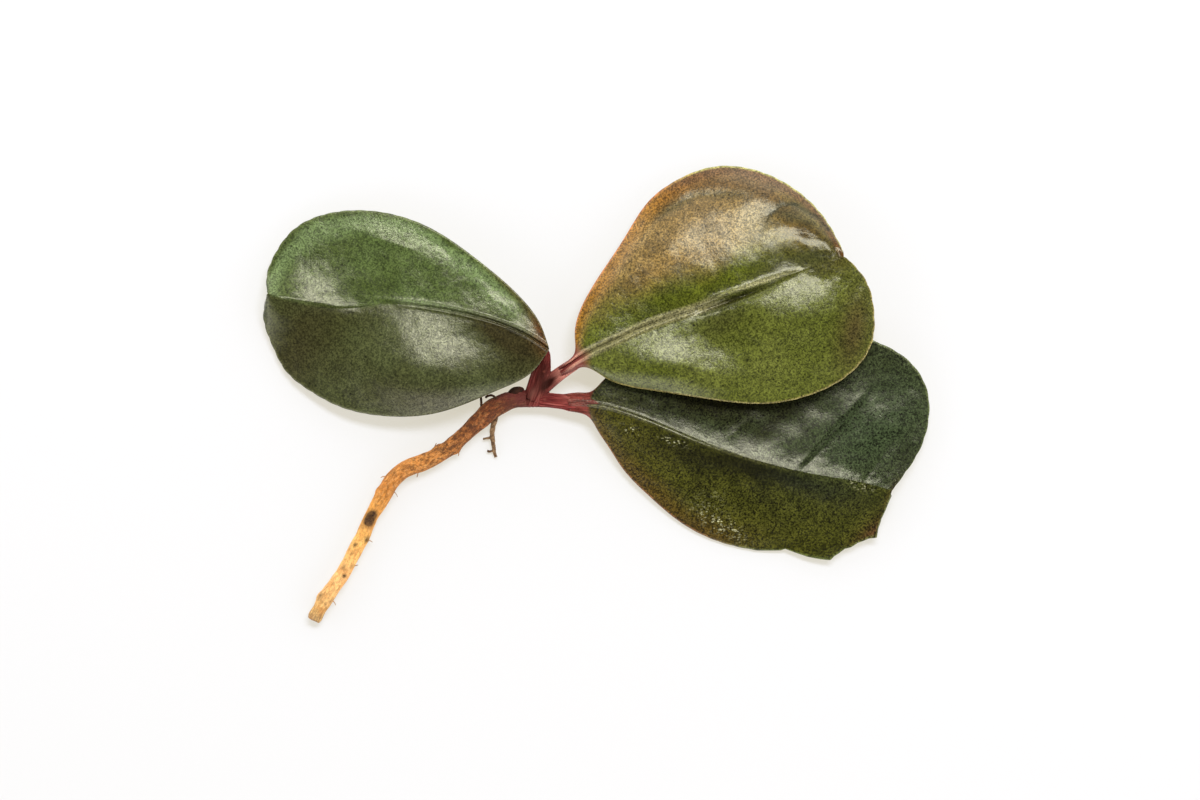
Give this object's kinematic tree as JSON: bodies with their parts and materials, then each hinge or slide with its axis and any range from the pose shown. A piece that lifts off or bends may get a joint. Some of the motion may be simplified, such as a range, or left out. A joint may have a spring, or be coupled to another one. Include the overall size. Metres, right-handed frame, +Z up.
{
  "type": "rooted ardisia cutting",
  "caption": "Rooted plant cutting that lies flat: a bare bent stem with a side root and a bud, red leaf stalks and thick glossy rounded leaves.",
  "frame": {"origin": "on the surface that the cutting lies on, under the middle of its outline", "axes": "+X from the stem's cut end towards the right-hand leaves, +Y away from the viewer, +Z up from the surface"},
  "size_m": [0.1659, 0.1141, 0.0138],
  "materials": {
    "bark": "dry brown bark, straw coloured towards the cut end",
    "root": "dry brown root skin",
    "bud": "dark maroon, slightly glossy",
    "stalk": "crimson, slightly glossy, streaked lengthwise",
    "leaf_green": "thick waxy leaf, mid green",
    "leaf_olive": "thick waxy leaf, olive to tan with an orange-red edge",
    "leaf_dark": "thick waxy leaf, dark green"
  },
  "bodies": {
    "root": {"stem": "bark", "side_root": "root", "bud": "bud", "leaf_stalks": "stalk", "leaf_left": "leaf_green", "leaf_upper": "leaf_olive", "leaf_lower": "leaf_dark"}
  },
  "joints": []
}
